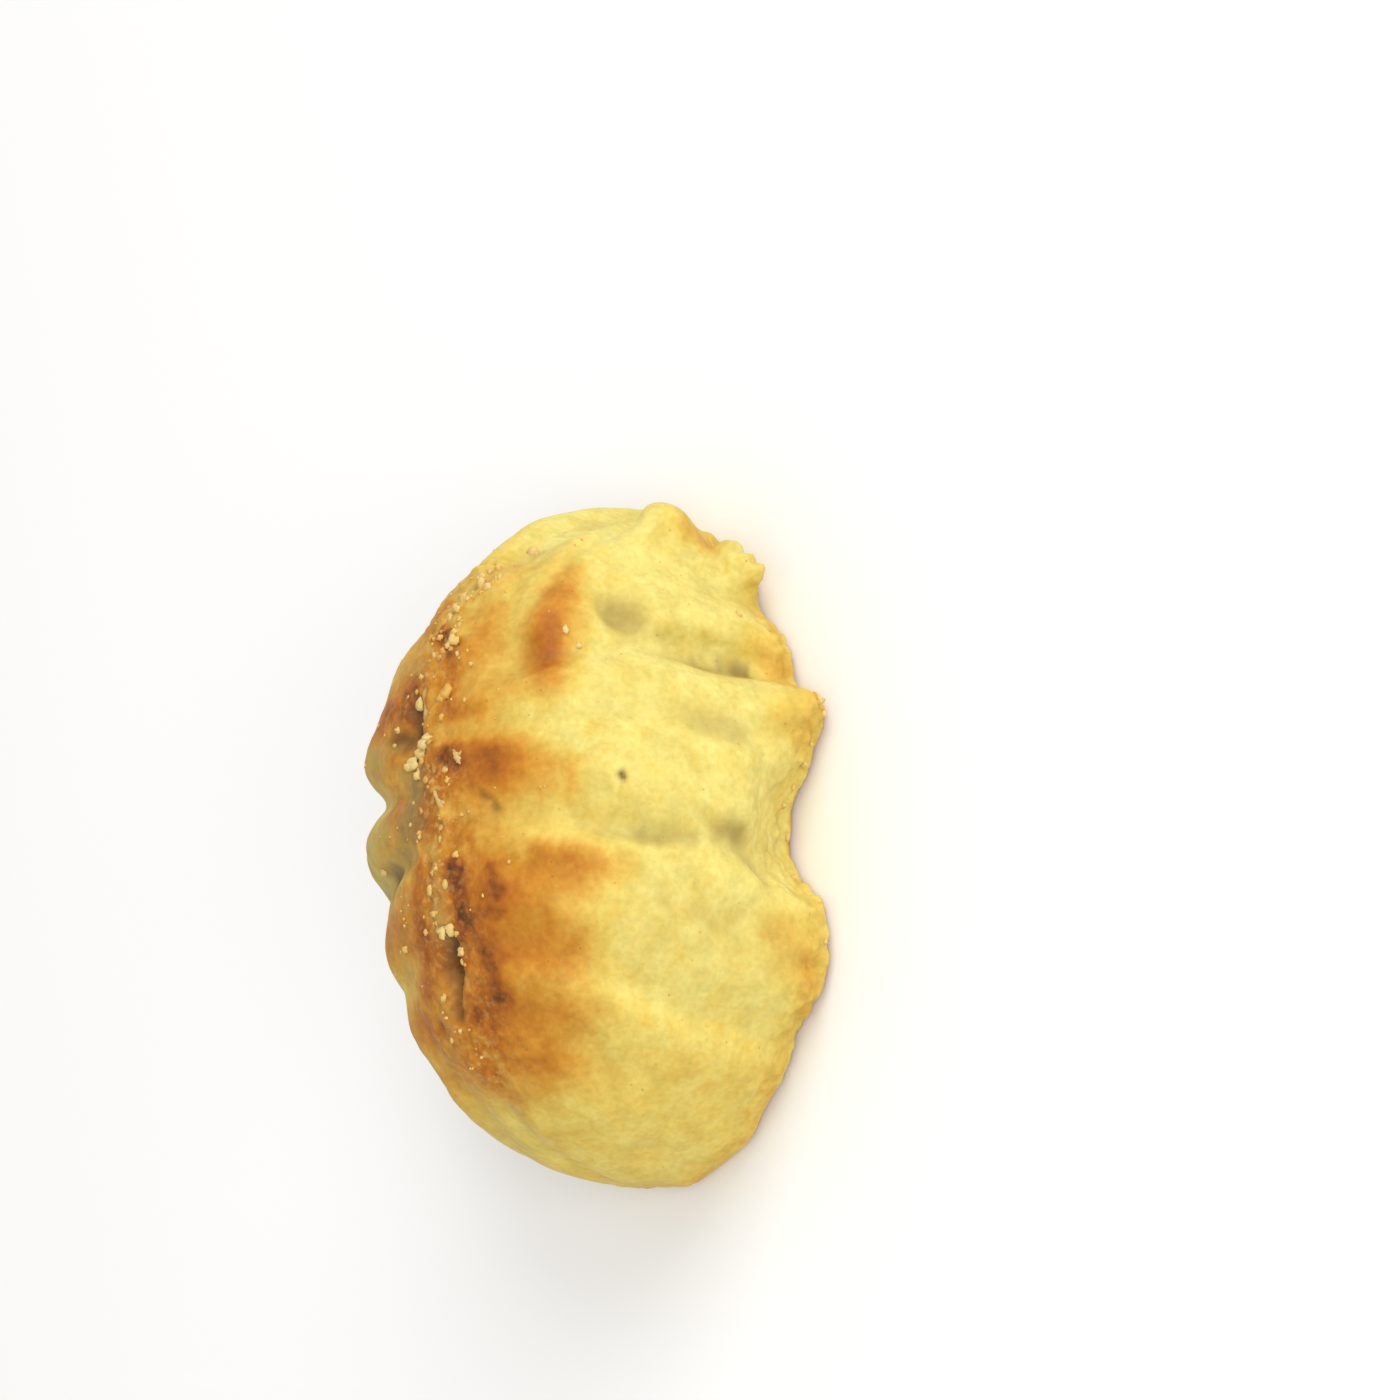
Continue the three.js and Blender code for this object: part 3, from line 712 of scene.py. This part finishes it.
# Browning, with patches and sand in it
broad = speckle(w, dough_place, *BROAD_PATCHES) - 0.5
patchy = speckle(w, dough_place, *SMALL_PATCHES) - 0.5
sandy = speckle(w, dough_place, *SAND) - 0.5
mottled = speckle(w, dough_place, *MOTTLING) - 0.5
baking = toasted * BROWNING_GAIN + LEAST_BROWNING + broad * BROAD_STRENGTH
baking = baking + patchy * (PATCH_STRENGTH - PATCH_FADING * toasted)
baking = baking + sandy * (SAND_STRENGTH + SAND_GAIN * toasted)
baking = baking + coarse * mottled * MOTTLING_STRENGTH
colour = shade_of(w, BAKED_TONES, baking.clamped())

# Grains of semolina that show through, and the marks of the mould
grain_shade = shade_of(w, GRAIN_SHADES, speckle(w, dough_place, *GRAINS))
pressed_shade = shade_of(w, PRESSED_SHADES, speckle(w, dough_place, *PRESSED_GRAINS))
colour = blend(w, 1.0, colour, grain_shade, "MULTIPLY")
colour = blend(w, 1.0, colour, pressed_shade, "MULTIPLY")

# Valleys with their painted shade, torn places, pores, and gaps and pits darkened with painted shade
colour = blend(w, (sunk_and_shaded * VALLEY_SHADE_STRENGTH + sunk_and_shaded * patchy * VALLEY_SHADE_PATCHES).clamped(), colour, VALLEY_AND_SHADE_TONE)
colour = blend(w, (peeled * (mottled + LEAST_SCRAP)).clamped(), colour, SCRAP_TONE)
crumb_spots = threshold(w, speckle(w, dough_place, *CRUMB_SPOTS), *CRUMB_SPOT_LEVELS)
crumb_spots = crumb_spots * (crumbly + coarse * TORN_CREST_SHARE) * CRUMB_STRENGTH
colour = blend(w, crumb_spots.clamped(), colour, CRUMB_TONE)
pore_sockets = {"Vector": dough_place, "Scale": 1 / PORE_SPACING}
pore_cells = w.make("ShaderNodeTexVoronoi", None, pore_sockets, "Distance")
pore_fields = threshold(w, speckle(w, dough_place, *PORE_FIELDS), *PORE_FIELD_LEVELS)
pores = threshold(w, pore_cells, *PORE_LEVELS) * pore_fields
colour = blend(w, pores * PORE_STRENGTH, colour, PORE_TONE)
# Painted shade in the gaps and pits
colour = blend(w, (hollow_shade + hollow_shade * patchy).clamped(), colour, HOLLOW_SHADE_TONE)

skin = speckle(w, dough_place, *SKIN) * SKIN_HEIGHT + speckle(w, dough_place, *FINE_SKIN) * FINE_SKIN_HEIGHT
skin = skin + coarse * speckle(w, dough_place, *TORN_SKIN) * TORN_SKIN_HEIGHT - pores * PORE_DEPTH
roughness = RAW_ROUGHNESS + patchy * PATCH_ROUGHNESS - toasted * BROWNED_SMOOTHNESS
dough_surface(w, colour, roughness, skin, BAKED_BUMP, BAKED_SCATTER)

crust_mesh.materials.clear()
crust_mesh.materials.append(baked)
crust = bpy.data.objects.new("crust", crust_mesh)
scene.collection.objects.link(crust)
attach(crust, "root")
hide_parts("cookie")


# ---------------------------------------------------------------------------
# The torn flakes
# Thin scraps and fine threads of the same dough, which lifted where the crest tore open and were baked on to
# the crust as they lay.
# ---------------------------------------------------------------------------
FLAKE_THICKNESS = 0.22 * MM
FLAKE_CUTS = 4  # mesh steps across a flake, and between two points of its middle line
FLAKE_CUPPING = 0.18
FLAKE_BUCKLING = 0.2
FLAKE_RAGGEDNESS = 0.7
RAGGED_BUMPS = (6, 2)  # along and across
RAGGED_SEED_STEP = 3.1
BUCKLE_BUMPS = 3  # along
BUCKLE_SEED_STEP = 7.7
STEP_ALONG = 0.1  # on a flake's length from -1 to 1

# The middle line of each flake with its width, in millimetres, the way its flat side faces, and its tint from
# 0 for pale to 1 for golden brown
FLAKES = (
    (
        ((1.2, 2.4, 25.9, 0.3), (1.7, 1.2, 26.1, 0.5), (2.4, 0.0, 25.9, 0.6), (3.3, -1.0, 25.4, 0.3)),
        (0.4, 0.0, 1.0),
        0.25,
    ),
    (
        ((1.5, 0.9, 25.9, 0.3), (2.3, 0.5, 26.0, 0.4), (3.1, 0.5, 25.7, 0.2)),
        (0.4, 0.0, 1.0),
        0.30,
    ),
    (
        ((3.3, 4.6, 25.6, 0.2), (3.8, 4.1, 25.9, 0.5), (4.1, 3.6, 25.8, 0.5), (4.4, 3.1, 25.5, 0.2)),
        (0.3, 0.0, 1.0),
        0.35,
    ),
    (
        ((4.3, 4.5, 25.4, 0.2), (4.1, 4.1, 25.7, 0.3), (3.8, 3.7, 25.7, 0.3), (3.5, 3.5, 25.6, 0.2)),
        (0.3, 0.0, 1.0),
        0.35,
    ),
    (
        ((-0.6, 11.6, 24.5, 0.4), (-0.9, 9.8, 24.9, 0.7), (-0.6, 8.0, 25.2, 0.6), (-0.2, 6.6, 25.4, 0.3)),
        (0.9, 0.0, 0.5),
        0.45,
    ),
    (
        ((-3.2, 18.0, 20.9, 0.4), (-2.2, 16.8, 22.2, 0.9), (-0.8, 16.2, 22.8, 0.8), (0.2, 15.4, 23.1, 0.3)),
        (0.2, 0.4, 0.9),
        0.40,
    ),
)


def add_flake(shape, spine, facing, seed):
    """A thin, ragged, slightly cupped strip along a line of points with widths. Returns its vertices."""
    spine = np.array(spine)
    facing = Vector(facing).normalized()
    length_cuts = FLAKE_CUTS * (len(spine) - 1)
    strip = bmesh.ops.create_grid(shape, x_segments=length_cuts, y_segments=FLAKE_CUTS, size=1)["verts"]
    stations = np.linspace(-1, 1, len(spine))

    def middle_at(station):
        return Vector([np.interp(station, stations, spine[:, axis]) for axis in range(3)])

    for vert in strip:
        along, across = vert.co.x, vert.co.y
        ahead = middle_at(along + STEP_ALONG) - middle_at(along - STEP_ALONG)
        sideways = facing.cross(ahead).normalized()
        bump_place = (along * RAGGED_BUMPS[0], across * RAGGED_BUMPS[1], seed * RAGGED_SEED_STEP)
        ragged_edge = 1 + FLAKE_RAGGEDNESS * noise.noise(Vector(bump_place))
        half_width = np.interp(along, stations, spine[:, 3]) / 2 * ragged_edge
        buckle_place = (along * BUCKLE_BUMPS, across, seed * BUCKLE_SEED_STEP)
        bend = FLAKE_CUPPING * across * across + FLAKE_BUCKLING * noise.noise(Vector(buckle_place))
        vert.co = (middle_at(along) + sideways * (across * half_width) - facing * bend) * MM
    strip_verts = set(strip)
    faces = [face for face in shape.faces if strip_verts.issuperset(face.verts)]
    shell = bmesh.ops.solidify(shape, geom=faces, thickness=FLAKE_THICKNESS)["geom"]
    return strip + [part for part in shell if isinstance(part, bmesh.types.BMVert)]


flakes_shape = bmesh.new()
tint_layer = flakes_shape.verts.layers.float.new("tint")
for number, (spine, facing, tint) in enumerate(FLAKES, 1):
    for vert in add_flake(flakes_shape, spine, facing, number):
        vert[tint_layer] = tint
bmesh.ops.recalc_face_normals(flakes_shape, faces=flakes_shape.faces)
flakes_mesh = bpy.data.meshes.new("torn_flakes")
flakes_shape.to_mesh(flakes_mesh)
flakes_shape.free()
flakes_mesh.shade_smooth()

TORN_TONES = (
    (0.00, tone(242, 212, 146)),
    (0.40, tone(222, 176, 100)),
    (0.75, tone(186, 130, 60)),
    (1.00, tone(146, 92, 38)),
)
TORN_STREAKS = (1.2, 3.0, 8.0)  # size, detail and seed
TORN_GRIT = (0.35, 2.0, 9.0)
TORN_BUMP = (0.4, 0.1 * MM)
TORN_SCATTER = (0.15, 0.8 * MM)
TORN_GRIT_SHADE = 0.3
TORN_PALING = 0.15
TORN_ROUGHNESS = 0.62
GRIT_ROUGHNESS = 0.2

torn_dough, w = new_finish("torn_dough")
flake_place = in_millimetres(w)
tinted = level_of(w, "tint")
streaky = speckle(w, flake_place, *TORN_STREAKS) - 0.5
gritty = speckle(w, flake_place, *TORN_GRIT)
colour = shade_of(w, TORN_TONES, (tinted + streaky + gritty * TORN_GRIT_SHADE - TORN_PALING).clamped())
dough_surface(w, colour, TORN_ROUGHNESS + gritty * GRIT_ROUGHNESS, gritty, TORN_BUMP, TORN_SCATTER)
flakes_mesh.materials.append(torn_dough)
torn_flakes = bpy.data.objects.new("torn_flakes", flakes_mesh)
scene.collection.objects.link(torn_flakes)
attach(torn_flakes, "root")


# ---------------------------------------------------------------------------
# The crumbs
# Grains of semolina dough, from fine grit to a millimetre across. They fell on the crest when the cookie was
# knocked out of its mould, or broke off along the lower edge, and were baked on there.
# ---------------------------------------------------------------------------
# Middle, size, and tint from 0 for pale to 1 for golden
PLACED_CRUMBS = (
    (1.5, 22.0, 16.6, 1.10, 0.10),
    (1.9, 21.8, 16.6, 0.70, 0.15),
    (0.8, 20.3, 19.4, 0.70, 0.25),
    (0.2, 20.0, 19.9, 0.60, 0.30),
    (1.4, 18.6, 21.4, 0.95, 0.10),
    (2.4, 18.1, 21.7, 0.90, 0.15),
    (0.6, 19.2, 20.9, 0.75, 0.20),
    (-0.3, 17.6, 22.0, 0.80, 0.20),
    (0.0, 16.6, 22.8, 0.90, 0.20),
    (-0.8, 16.0, 22.9, 0.80, 0.10),
    (0.8, 15.6, 23.2, 0.60, 0.30),
    (1.2, 13.7, 24.1, 1.00, 0.20),
    (0.8, 13.2, 24.2, 0.60, 0.25),
    (1.4, 9.3, 24.9, 1.25, 0.45),
    (0.9, 9.0, 25.0, 0.80, 0.50),
    (-2.0, 9.1, 24.7, 0.90, 0.05),
    (-2.2, 11.2, 24.4, 0.60, 0.20),
    (1.5, 7.3, 25.3, 0.60, 0.40),
    (0.0, 6.0, 25.9, 0.90, 0.05),
    (-0.6, 5.5, 26.0, 1.20, 0.00),
    (-1.2, 5.0, 26.0, 1.30, 0.10),
    (-1.8, 4.5, 25.9, 1.25, 0.00),
    (-2.3, 4.0, 25.8, 0.90, 0.10),
    (-0.8, 3.0, 25.9, 0.85, 0.15),
    (-4.5, 7.2, 25.2, 0.50, 0.20),
    (-4.9, 6.2, 25.3, 0.45, 0.30),
    (2.6, 3.0, 25.8, 0.60, 0.30),
    (3.0, 2.2, 25.7, 0.55, 0.30),
    (4.0, -0.6, 25.2, 0.50, 0.40),
    (2.0, -1.4, 25.5, 0.60, 0.30),
    (1.9, -2.2, 25.6, 0.50, 0.25),
    (3.8, -3.7, 25.4, 0.60, 0.30),
    (2.7, -5.8, 25.6, 0.60, 0.20),
    (1.0, -9.2, 25.2, 0.80, 0.15),
    (1.6, -9.4, 25.2, 1.00, 0.05),
    (2.2, -9.5, 25.1, 0.95, 0.15),
    (2.7, -9.6, 24.9, 0.60, 0.25),
    (2.7, -11.0, 24.4, 0.70, 0.15),
    (2.8, -11.7, 24.2, 0.50, 0.20),
    (-5.0, -9.8, 23.5, 0.70, 0.25),
    (-8.8, -2.9, 22.9, 0.70, 0.10),
    (10.4, 13.6, 20.3, 0.55, 0.00),
    (10.8, 12.4, 19.3, 0.60, 0.05),
    (13.2, 16.2, 5.3, 0.65, 0.10),
    (8.4, -4.6, 24.2, 0.40, 0.40),
    (10.6, 1.0, 22.8, 0.35, 0.30),
    (17.8, 9.9, 2.0, 0.60, 0.05),
    (18.8, 9.2, 1.8, 0.75, 0.05),
    (19.2, 8.2, 1.3, 0.60, 0.10),
    (18.0, 5.8, 1.7, 0.45, 0.10),
    (17.4, 4.2, 1.8, 0.50, 0.05),
    (16.2, 2.4, 1.5, 0.50, 0.15),
    (15.6, 1.2, 1.8, 0.60, 0.05),
    (15.0, -1.1, 1.2, 0.60, 0.10),
    (16.4, -4.3, 1.7, 0.50, 0.10),
    (19.0, -9.8, 1.3, 0.50, 0.15),
)
SCATTER_SEED = 7
# Bands of smaller crumbs: how many, along from and to, middle and spread of x, smallest and largest size
SCATTERED = (
    (70, -20, 22, 0.8, 1.2, 0.22, 0.60),
    (30, 8, 23, 0.8, 2.0, 0.25, 0.55),
    (26, -18, 16, -4.5, 2.6, 0.20, 0.45),
    (14, -20, 20, 5.0, 4.0, 0.18, 0.30),
    (8, 16, 24, 5.0, 5.0, 0.18, 0.30),
    (24, -9.2, -3.6, 1.8, 0.35, 0.24, 0.48),
    (30, -3.5, 3.8, 0.4, 1.1, 0.20, 0.45),
)
SCATTERED_TINTS = (0.05, 0.7)
FALL_HEIGHT = 30  # crumbs are dropped from a dome this high, which is this much lower towards its edge
FALL_CURVE = 0.02
CRUMB_LENGTHS = (0.8, 1.25)  # shares of a crumb's size
CRUMB_FLATNESS = (0.5, 0.75)
CRUMB_PROUDNESS = 0.02
CRUMB_UNEVENNESS = 0.75
CRUMB_SEED = 20
FINE_MESH_SIZE = 0.4  # crumbs over this size are meshed finer

scatter = random.Random(SCATTER_SEED)
crumbs = [(Vector(crumb[:3]), crumb[3], crumb[4]) for crumb in PLACED_CRUMBS]
for count, start, end, middle_x, spread, smallest, largest in SCATTERED:
    for _ in range(count):
        spot = Vector((scatter.gauss(middle_x, spread), scatter.uniform(start, end), 0))
        spot.z = FALL_HEIGHT - FALL_CURVE * spot.x ** 2 - FALL_CURVE * spot.y ** 2
        size = smallest + (largest - smallest) * scatter.random() ** 2
        crumbs.append((spot, size, scatter.uniform(*SCATTERED_TINTS)))

crust_surface = BVHTree.FromObject(crust, bpy.context.evaluated_depsgraph_get())
crumbs_shape = bmesh.new()
tint_layer = crumbs_shape.verts.layers.float.new("tint")
for number, (spot, size, tint) in enumerate(crumbs, CRUMB_SEED):
    spot_on_crust, out, _, _ = crust_surface.find_nearest(spot * MM)
    half_sizes = [size / 2 * scatter.uniform(*CRUMB_LENGTHS) for _ in range(2)]
    half_sizes.append(size / 2 * scatter.uniform(*CRUMB_FLATNESS))
    middle = spot_on_crust / MM + out * size * CRUMB_PROUDNESS
    subdivisions = 2 if size > FINE_MESH_SIZE else 1
    for vert in add_lump(crumbs_shape, middle, half_sizes, CRUMB_UNEVENNESS, number, subdivisions):
        vert[tint_layer] = tint
crumbs_mesh = bpy.data.meshes.new("crumbs")
crumbs_shape.to_mesh(crumbs_mesh)
crumbs_shape.free()
crumbs_mesh.shade_smooth()

CRUMB_TONES = (
    (0.00, tone(255, 224, 146)),
    (0.45, tone(244, 190, 92)),
    (1.00, tone(208, 138, 54)),
)
CRUMB_GRIT = (0.3, 2.0, 10.0)  # size, detail and seed
CRUMB_BUMP = (0.3, 0.08 * MM)
CRUMB_SCATTER = (0.2, 0.5 * MM)
CRUMB_GRIT_SHADE = 0.4
CRUMB_PALING = 0.2
CRUMB_ROUGHNESS = 0.6

crumb_dough, w = new_finish("crumb_dough")
tinted = level_of(w, "tint")
gritty = speckle(w, in_millimetres(w), *CRUMB_GRIT)
colour = shade_of(w, CRUMB_TONES, (tinted + gritty * CRUMB_GRIT_SHADE - CRUMB_PALING).clamped())
dough_surface(w, colour, CRUMB_ROUGHNESS + gritty * GRIT_ROUGHNESS, gritty, CRUMB_BUMP, CRUMB_SCATTER)
crumbs_mesh.materials.append(crumb_dough)
crumb_grains = bpy.data.objects.new("crumbs", crumbs_mesh)
scene.collection.objects.link(crumb_grains)
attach(crumb_grains, "root")


# ---------------------------------------------------------------------------
# The floor and the light
# A plain pale table top, a soft lamp on the +X side beyond each tip, and even light all round.
# ---------------------------------------------------------------------------
FLOOR_SIDE = 6.0
LAMP_SIDE = 0.55
LAMP_DISTANCE = 0.9
# The name of each lamp, the way to it from the cookie, and its power in watts
LAMPS = (
    ("key", (0.80, -0.20, 0.57), 3.6),
    ("fill", (0.46, 0.70, 0.54), 3.8),
)
SKY_STRENGTH = 0.70
SKY_COLOUR = (1.0, 0.99, 0.97, 1.0)
TABLE_COLOUR = (0.9, 0.9, 0.9, 1.0)
TABLE_ROUGHNESS = 0.8

floor_shape = bmesh.new()
bmesh.ops.create_grid(floor_shape, x_segments=1, y_segments=1, size=FLOOR_SIDE / 2)
floor_mesh = bpy.data.meshes.new("floor")
floor_shape.to_mesh(floor_mesh)
floor_shape.free()
table_top, w = new_finish("table_top")
surface = w.make("ShaderNodeBsdfPrincipled", None, {"Base Color": TABLE_COLOUR, "Roughness": TABLE_ROUGHNESS})
w.make("ShaderNodeOutputMaterial", None, {"Surface": surface})
floor_mesh.materials.append(table_top)
floor = bpy.data.objects.new("floor", floor_mesh)
scene.collection.objects.link(floor)

for name, direction, watts in LAMPS:
    direction = Vector(direction).normalized()
    lamp = bpy.data.objects.new(name, bpy.data.lights.new(name, "AREA"))
    lamp.data.size = LAMP_SIDE
    lamp.data.energy = watts
    lamp.location = direction * LAMP_DISTANCE
    lamp.rotation_mode = "QUATERNION"
    lamp.rotation_quaternion = direction.to_track_quat("Z", "Y")
    scene.collection.objects.link(lamp)

world = bpy.data.worlds.new("world")
world.use_nodes = True
background = world.node_tree.nodes["Background"]
background.inputs["Color"].default_value = SKY_COLOUR
background.inputs["Strength"].default_value = SKY_STRENGTH
scene.world = world
scene.view_settings.view_transform = "Standard"
